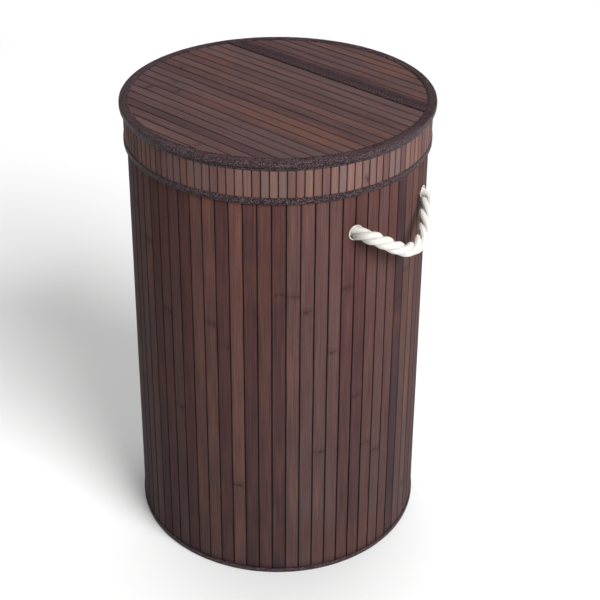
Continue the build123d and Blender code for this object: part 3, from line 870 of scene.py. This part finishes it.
profile = lidProfile()
for name, body, node, way in (("flapBinding", "flap", "flap_binding", -1),
                              ("rearBinding", "lid", "lid_rear_binding", 1)):
    edge = foldEdge(way)
    start = np.arcsin(edge / np.array(profile)[:, 0])
    ring = sweptRing(profile, lidBinding["steps"][name], start, way * np.pi - start)
    place(makePiece(name, [ring], bindingTape), body, "binding_tape", node)
    radius = hamper["lidRadius"] - lidBinding["stitchIn"]
    first = math.asin(edge / radius) + way * lidBinding["stitchClear"]
    row = ringStitches(radius, hamper["lidTop"], (0, 1), first, way * np.pi - first)
    place(makePiece(name + "Stitches", row, darkThread), body, "binding_tape")

skirtTape = {"thick": 0.5, "hem": 8.6, "head": 4.0, "hemSteps": 220, "headSteps": 180, "belly": 0.12,
             "inFold": 0.4, "bend": [(0.0, 0.9), (0.35, 0.25), (1.0, 0.0)], "stitchesAt": (7.2, 1.8)}
skirtCloth = {"inside": 180.94, "outside": 181.44, "steps": 120}


def foldProfile(edge, way, height):
    # tape folded over the skirt's edge: along the outer face, round the fold, along the inner face, then back
    # on its own inside; way is 1 where the tape stands up from the edge and -1 where it hangs down
    inner, outer = hamper["skirtInside"], hamper["skirtFace"] + skirtTape["thick"]
    thick, bend = skirtTape["thick"], skirtTape["bend"]
    line = [(outer, height), (outer + skirtTape["belly"], height * 0.5), *((outer - i, h) for i, h in bend),
            *((inner + i, h) for i, h in bend[::-1]), (inner, height), (inner + thick, height),
            (inner + thick, thick + skirtTape["inFold"]), (outer - thick, thick + skirtTape["inFold"]),
            (outer - thick, height)]
    return [(r, edge + way * h) for r, h in line]


def addRing(name, profile, steps, body, node, finish=bindingTape, slot="binding_tape", smooth=True):
    place(makePiece(name, [sweptRing(profile, steps)], finish, smooth=smooth), body, slot, node)


hem = foldProfile(hamper["skirtLow"], 1, skirtTape["hem"])
head = foldProfile(hamper["skirtTop"], -1, skirtTape["head"])
addRing("skirtHemBinding", hem, skirtTape["hemSteps"], "lid", "skirt_hem_binding")
addRing("skirtHeadBinding", head, skirtTape["headSteps"], "lid", "skirt_head_binding")
row = []
for height in skirtTape["stitchesAt"]:
    row += ringStitches(hamper["skirtFace"] + skirtTape["thick"], hamper["skirtLow"] + height, (1, 0))
place(makePiece("skirtHemStitches", row, darkThread), "lid", "binding_tape")
band = [(skirtCloth[side], skirtEnds[end]) for side, end in
        (("inside", 0), ("outside", 0), ("outside", 1), ("inside", 1))]
addRing("skirtBacking", band, skirtCloth["steps"], "lid", "skirt_backing", darkCloth, "backing_cloth", False)

# bend and lip: how far in from the tape's face, and the height from the floor or from the tape's upper edge
foot = {"inner": 166.5, "face": 183.6, "thick": 0.9, "height": 6.5, "under": 1.0, "steps": 220,
        "bend": [(0.9, 0.15), (0.25, 0.6), (0.0, 1.5), (0.0, 4.0)], "lip": [(0.05, -0.2), (0.3, 0.0)]}
outer = foot["face"] + foot["thick"]
profile = [(foot["inner"], 0), (foot["face"] - foot["under"], 0), *((outer - i, h) for i, h in foot["bend"]),
           *((outer - i, foot["height"] + h) for i, h in foot["lip"]), (foot["face"], foot["height"]),
           (foot["face"], foot["thick"]), (foot["inner"], foot["thick"])]
addRing("footBinding", profile, foot["steps"], "basket", "foot_binding")

rim = {"height": 14.0, "inside": 175.9, "outside": 176.5, "under": 571.3, "steps": 200,
       "over": [(179.4, 571.3), (179.5, 571.5), (179.3, 571.85), (178.6, 571.9), (177.2, 571.9),
                (176.2, 571.75), (175.95, 571.2)]}
low = hamper["wallTop"] - rim["height"]
profile = [*rim["over"], (rim["inside"], low), (rim["outside"], low), (rim["outside"], rim["under"])]
addRing("rimBinding", profile, rim["steps"], "basket", "wall_rim_binding", rimTape)

# the fold tape's section: distance from the fold's edge and depth below the tape's top
foldTape = {"thick": 0.6, "reach": 175.93, "steps": 120,
            "across": [0.0, 0.0, 0.3, 6.9, 12.0, 21.5, 22.7, 23.0, 23.0],
            "below": [0.6, 0.25, 0.0, 0.06, 0.0, 0.0, 0.1, 0.3, 0.6], "waverFrom": 21.0, "waver": 0.35,
            "stitches": 64, "pitch": 4.8, "stitchBack": 7.0, "stitchBelow": 0.35, "stitchLong": 2.2,
            "stitchThick": 0.9}


def foldStrip():
    # strip across the lid: a thin section with a wavering rear edge, each of its lines ending on a circle
    t = np.linspace(-1, 1, foldTape["steps"])[:, None]
    across = np.array(foldTape["across"])
    waver = np.where(across > foldTape["waverFrom"], foldTape["waver"], 0) * wave(t * 3, 77, (1, 2, 5))
    y = foldEdge(1) + across + waver
    z = hamper["lidTop"] - hamper["tapeRise"] + foldTape["thick"] - np.array(foldTape["below"])
    x = t * np.sqrt(foldTape["reach"] ** 2 - y ** 2)
    return gridPart(np.stack([x, y, z + 0 * x], -1), wrapV=True, uv=(seamed(x), seamed(y)), caps=True)


place(makePiece("foldTape", [foldStrip()], foldTapeCloth), "lid", "binding_tape", "fold_tape")
x = (np.arange(-foldTape["stitches"] // 2, foldTape["stitches"] // 2) + 0.5) * foldTape["pitch"]
y, z = hamper["fold"] + foldTape["stitchBack"], hamper["lidTop"] - foldTape["stitchBelow"]
row = stitchRow(np.stack([x, 0 * x + y, 0 * x + z], -1), np.tile([1.0, 0, 0], (len(x), 1)),
                np.tile(upward, (len(x), 1)), foldTape["stitchLong"], foldTape["stitchThick"])
place(makePiece("foldStitches", row, foldThread), "lid", "binding_tape")
print("bindings sewn")

# eyelets, washers and knotted ends; each profile is (radius about the bore, distance from the hamper's axis)

eyelet = {"bore": 7.8, "barrel": 8.3, "flange": 9.5, "seat": 180.42, "thick": 1.6, "inside": 174.6,
          "curl": 0.8, "curlThick": 0.7, "beadSteps": 7, "steps": 40}
washer = {"bore": 8.45, "outer": 10.5, "inside": 175.5, "outside": 176.5, "eased": 0.2}


def aboutBore(out, r, spin, turn):
    # points at a distance out from the axis and a radius about a rope hole's bore
    return around(out + 0 * spin, r * np.cos(spin), hamper["holeHeight"] + r * np.sin(spin), turn)


def throughWall(profile, turn):
    # closed profile turned about a bore in the wall
    r, out = np.array(profile, float).T
    spin = roundAngles(eyelet["steps"])[:, None]
    return gridPart(aboutBore(out, r, spin, turn), wrapU=True, wrapV=True)


def eyeletProfile():
    # round bead on the wall's face, a barrel through the wall and a small curl inside
    bead = np.linspace(0, np.pi, eyelet["beadSteps"])
    mid, half = (eyelet["flange"] + eyelet["bore"]) / 2, (eyelet["flange"] - eyelet["bore"]) / 2
    barrel, inside, curl = eyelet["barrel"], eyelet["inside"], eyelet["curl"]
    return [*zip(mid + half * np.cos(bead), eyelet["seat"] + eyelet["thick"] * np.sin(bead)),
            (eyelet["bore"], inside), (barrel + curl, inside), (barrel + curl, inside + eyelet["curlThick"]),
            (barrel, inside + curl), (barrel, eyelet["seat"])]


washerProfile = [(washer["bore"], washer["inside"]), (washer["outer"], washer["inside"]),
                 (washer["outer"], washer["outside"] - washer["eased"]),
                 (washer["outer"] - washer["eased"], washer["outside"]), (washer["bore"], washer["outside"])]
for word, turns in holesOf.items():
    rings = [throughWall(eyeletProfile(), turn) for turn in turns]
    eyelets = makePiece("eyelets_" + word, rings, eyeletEnamel)
    place(eyelets, "basket", "eyelet_enamel", "rope_eyelets_" + word)
    rings = [throughWall(washerProfile, turn) for turn in turns]
    washers = makePiece("washers_" + word, rings, washerSteel, smooth=False)
    place(washers, "basket", "washer_steel", "eyelet_washers_" + word)

knot = {"tail": 139.5, "centre": 162.2, "radius": 14.6, "end": 178.0, "cord": 7.2, "tailRound": 2.0,
        "shrink": 0.93, "ridge": 0.07, "twist": 0.34, "bend": 1.2, "cordRidge": 0.05, "cordTwist": 0.12,
        "girth": 45, "hollowShade": 0.4, "hollowShadeDepth": 4, "swollen": 0.5, "rows": 60, "sides": 48}


def knotEnd(turn, seed):
    # knotted rope end: radius along the bore swells to the knot, with strand ridges that spiral round it
    s = np.linspace(knot["tail"], knot["end"], knot["rows"])[:, None]
    spin = roundAngles(knot["sides"])
    lump = np.sqrt(np.clip(1 - ((s - knot["centre"]) / knot["radius"]) ** 2, 0, 1))
    tip = np.clip((s - knot["tail"]) / knot["tailRound"] + 0.5, 0, 1) ** 0.5
    r = np.maximum(knot["cord"] * tip, knot["radius"] * lump)
    knotted = knot["ridge"] * np.cos(2 * spin + s * knot["twist"] + knot["bend"] * np.sin(spin + seed))
    laid = knot["cordRidge"] * np.cos(3 * spin - s * knot["cordTwist"])
    ridge = np.where(r > knot["cord"] + knot["swollen"], knotted, laid)
    r = r * (knot["shrink"] + ridge)
    uv = np.meshgrid(s[:, 0], np.linspace(0, knot["girth"], knot["sides"] + 1), indexing="ij")
    # painted shade, deeper in the furrows between the knot's strand ridges
    hollowShade = np.clip(knot["hollowShade"] - knot["hollowShadeDepth"] * ridge, 0, 1)
    return gridPart(aboutBore(s, r, spin, turn), wrapV=True, uv=uv, caps=True, marks={"hollowShade": hollowShade})


for word, turns in holesOf.items():
    ends = [knotEnd(turn, seed) for seed, turn in enumerate(turns)]
    knots = makePiece("ropeEnds_" + word, ends, ropeCotton, "ropeUV")
    place(knots, "basket", "rope_cotton", "rope_ends_" + word)
print("eyelets and knots made")

# cotton liner bag hung inside; flat is its size round and down before it was hung, in metres

liner = {"top": 568.9, "bottom": 6.4, "inset": 2.2, "cloth": 0.9, "flat": (1.12, 0.745), "rows": 110,
         "around": 260, "fold": 5.0, "foldLean": 0.12, "leanOver": 110, "creaseOver": 60, "creaseShare": 0.25,
         "rimFade": 180, "rimShare": 0.25, "floorFade": 60, "floorShare": 0.15, "floorRound": 6.0,
         "floorLift": 1.0, "floorSteps": (0.02, 0.985, 16), "floorCloth": 0.6, "floorWave": 0.5,
         "floorCurl": 8, "knotReach": 42.0, "knotCore": 13, "knotSoft": 13.0, "knotRadius": 165,
         "knotTrail": 0.55, "hemRows": (25.0, 12.5, 1.0, 0.2), "hemIn": 1.15, "hemThick": 0.9}


def linerRadius(theta, z):
    # inside of the wall less soft folds that deepen away from the rim, less a push where each knot stands
    fromRim = np.clip((liner["top"] - z) / liner["rimFade"], 0, 1)
    fromFloor = np.clip((z - liner["bottom"]) / liner["floorFade"], liner["floorShare"], 1)
    fold = halfWave(theta + liner["foldLean"] * np.sin(z / liner["leanOver"]), 201, (5, 9, 14, 23))
    crease = halfWave(theta, 205, (11, 19, 31)) * halfWave(z / liner["creaseOver"], 207)
    depth = liner["fold"] * (liner["rimShare"] + (1 - liner["rimShare"]) * fromRim) * fromFloor
    r = wallBack(z) - liner["inset"]
    r = r - depth * ((1 - liner["creaseShare"]) * fold + liner["creaseShare"] * crease)
    for hole in holes:
        rise = (z - hamper["holeHeight"]) * np.where(z < hamper["holeHeight"], liner["knotTrail"], 1.0)
        apart = np.hypot(angleGap(theta, hole) * liner["knotRadius"], rise)
        push = np.exp(-(np.clip(apart - liner["knotCore"], 0, None) / liner["knotSoft"]) ** 2)
        r = r - liner["knotReach"] * push
    return r


def linerShell(theta):
    # rows of the floor from near the middle outwards, then rows up the wall, with the corner between rounded
    low = liner["bottom"] + liner["floorLift"]
    z = low + (liner["top"] - low) * np.linspace(0, 1, liner["rows"])[:, None]
    wall = linerRadius(theta, z)
    wall = wall - liner["floorRound"] * np.exp(-((z - liner["bottom"]) / liner["floorRound"]) ** 2)
    step = np.linspace(*liner["floorSteps"])[:, None]
    ripple = liner["floorWave"] * wave(theta, 211, (3, 7, 12)) * step * (1 - step)
    floor = liner["bottom"] + liner["floorCloth"] + ripple + liner["floorCloth"] * step ** liner["floorCurl"]
    return np.concatenate([step * wall[0], wall]), np.concatenate([floor, z + 0 * wall])


theta = roundAngles(liner["around"])
r, z = linerShell(theta)
uv = np.meshgrid(np.linspace(0, liner["flat"][1] / mm, len(r)),
                 np.linspace(0, liner["flat"][0] / mm, liner["around"] + 1), indexing="ij")
bag = gridPart(around(r, 0.0, z, theta), wrapV=True, uv=uv)
bag["ends"] = [np.arange(liner["around"])]    # closes the middle of the floor, and leaves the mouth open
linerBag = makePiece("linerBag", [bag], linerCotton)
solid = linerBag.modifiers.new("cloth", "SOLIDIFY")
solid.thickness = liner["cloth"] * mm
solid.offset = -1.0
place(linerBag, "basket", "liner_cotton", "liner_bag")
hemZ = liner["top"] - np.array(liner["hemRows"])
hemR = linerRadius(theta[:, None], hemZ) - liner["hemIn"]
hemFace = around(hemR, 0.0, hemZ, theta[:, None])
hemBack = around(hemR - liner["hemThick"], 0.0, hemZ, theta[:, None])
hemLoop = np.concatenate([hemFace, hemBack[:, ::-1]], 1)
linerHem = makePiece("linerHem", [gridPart(hemLoop, wrapU=True, wrapV=True)], linerCotton)
place(linerHem, "basket", "liner_cotton")
print("liner hung")

# drawing's own pieces that keep their shape

for finish, names in ((darkCloth, ("wall_backing", "base_cloth", "wall_seam_tape")),
                      (baseBoardWood, ("base_board",)),
                      (lidBoardWood, ("lid_rear_board", "flap_board")),
                      (liningCloth, ("lid_rear_lining", "flap_lining"))):
    for name in names:
        mesh = cadNodes[name].data
        mesh.materials.clear()
        mesh.materials.append(finish)
print("plain pieces finished")

# floor and light

studio = {"half": 6000, "count": 7, "drop": -0.0005, "roomLight": 0.1, "roomSeen": 1.0}
line = np.linspace(-studio["half"], studio["half"], studio["count"])
floorPoints = np.stack([*np.meshgrid(line, line, indexing="ij"), np.zeros((len(line), len(line)))], -1)
floor = makePiece("floor", [gridPart(floorPoints)], floorPaint)
floor.location.z = studio["drop"]

# the room is white to look at, and gives only a little light
world = bpy.context.scene.world or bpy.data.worlds.new("studio")
bpy.context.scene.world = world
world.use_nodes = True
room = world.node_tree.nodes["Background"]
room.inputs["Color"].default_value = (1, 1, 1, 1)
direct = put(world.node_tree, "ShaderNodeLightPath").outputs["Is Camera Ray"]
feed(room, Strength=span(direct, 0.0, 1.0, studio["roomLight"], studio["roomSeen"]))
bpy.context.scene.view_settings.view_transform = "Standard"

# each far lamp: azimuth and height of where it stands in degrees, strength, softness, and if gloss shows it
lamps = {"key": (-7.0, 36.0, 3.9, 0.6, True), "top": (135.0, 62.0, 2.2, 1.0, False)}
for name, (azimuth, height, strength, softness, glossy) in lamps.items():
    lamp = bpy.data.objects.new(name, bpy.data.lights.new(name, "SUN"))
    lamp.data.energy, lamp.data.angle = strength, softness
    lamp.rotation_euler = (math.radians(90 - height), 0, math.radians(azimuth + 90))
    lamp.visible_glossy = glossy
    bpy.context.scene.collection.objects.link(lamp)

# a soft box near the top right, which lights the upper wall more than the foot
box = {"spot": (1.1, -0.2, 1.05), "aim": (0.15, -0.05, 0.45), "size": 0.6, "power": 7.5}
lamp = bpy.data.objects.new("box", bpy.data.lights.new("box", "AREA"))
lamp.data.size, lamp.data.energy = box["size"], box["power"]
lamp.location = box["spot"]
away = np.array(box["spot"]) - np.array(box["aim"])
lean = math.acos(away[2] / np.linalg.norm(away))
lamp.rotation_euler = (lean, 0, math.atan2(away[1], away[0]) + math.pi / 2)
bpy.context.scene.collection.objects.link(lamp)
print("lights set")
